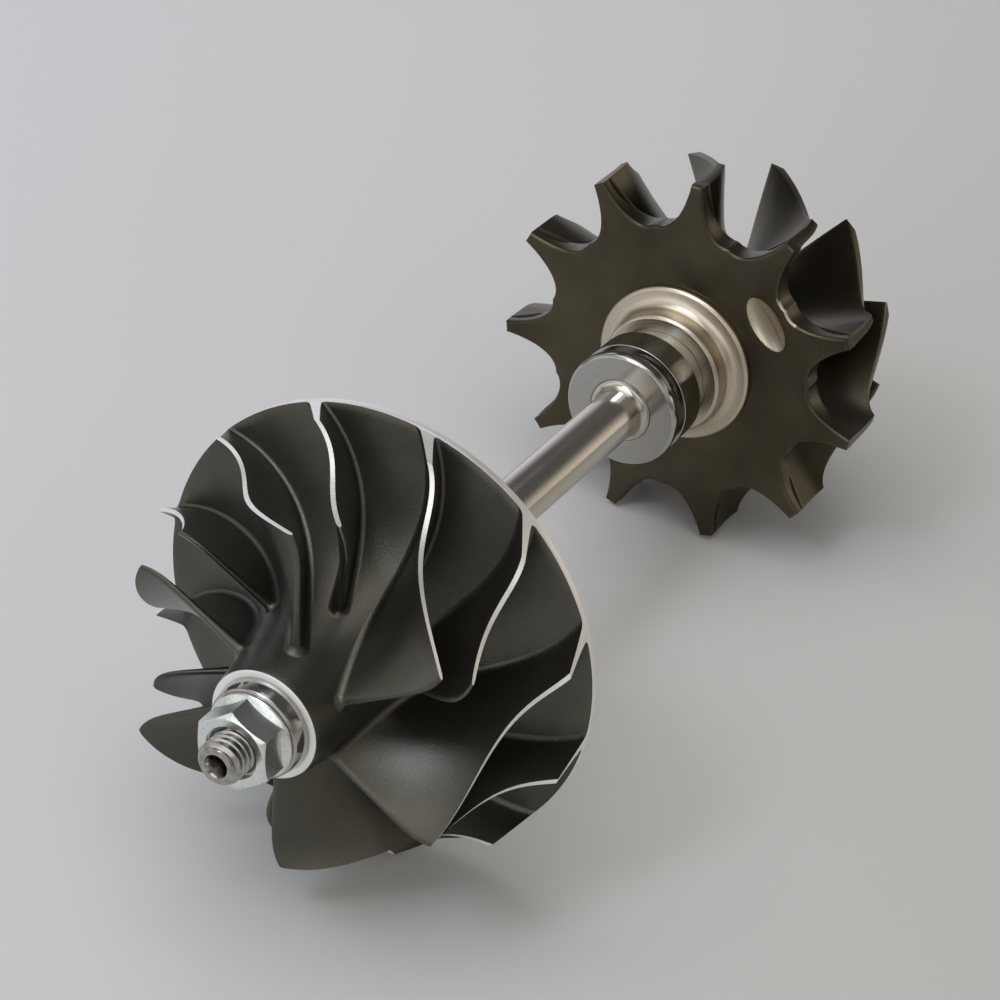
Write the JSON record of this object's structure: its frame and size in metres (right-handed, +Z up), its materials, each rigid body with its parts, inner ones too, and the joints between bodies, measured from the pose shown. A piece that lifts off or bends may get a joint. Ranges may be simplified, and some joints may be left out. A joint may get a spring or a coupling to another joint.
{
  "type": "turbocharger rotor",
  "caption": "Turbocharger rotor: a backswept bladed compressor wheel held by a flanged nut on a slim steel shaft, with a scalloped radial turbine wheel at the other end.",
  "frame": {"origin": "centre of the bounding box's bottom face, on the surface that the rotor rests on", "axes": "+X along the rotor from the compressor inlet to the turbine, level; +Z up; the rotor's own axis lies in the XZ plane and slopes 2.45 degrees down towards +X"},
  "size_m": [0.1214, 0.0516, 0.0517],
  "materials": {
    "cast_aluminium": "blasted casting, matte dark grey",
    "polished_steel": "ground and polished steel",
    "zinc_nut": "bright zinc plated",
    "shaft_steel": "ground steel, machined thread",
    "turned_nickel": "turned nickel alloy, warm satin",
    "cast_nickel": "investment cast nickel alloy, dark olive brown"
  },
  "bodies": {
    "root": {"compressor_hub": "cast_aluminium", "compressor_blade_1": "cast_aluminium", "splitter_blade_1": "cast_aluminium", "compressor_blade_2": "cast_aluminium", "splitter_blade_2": "cast_aluminium", "compressor_blade_3": "cast_aluminium", "splitter_blade_3": "cast_aluminium", "compressor_blade_4": "cast_aluminium", "splitter_blade_4": "cast_aluminium", "compressor_blade_5": "cast_aluminium", "splitter_blade_5": "cast_aluminium", "compressor_blade_6": "cast_aluminium", "splitter_blade_6": "cast_aluminium", "nose_collar": "polished_steel", "lock_nut": "zinc_nut", "shaft": "shaft_steel", "seal_hub": "polished_steel", "weld_boss": "turned_nickel", "turbine_hub": "cast_nickel", "turbine_blade_1": "cast_nickel", "turbine_blade_2": "cast_nickel", "turbine_blade_3": "cast_nickel", "turbine_blade_4": "cast_nickel", "turbine_blade_5": "cast_nickel", "turbine_blade_6": "cast_nickel", "turbine_blade_7": "cast_nickel", "turbine_blade_8": "cast_nickel", "turbine_blade_9": "cast_nickel", "turbine_blade_10": "cast_nickel", "turbine_blade_11": "cast_nickel", "turbine_nose": "cast_nickel"}
  },
  "joints": []
}
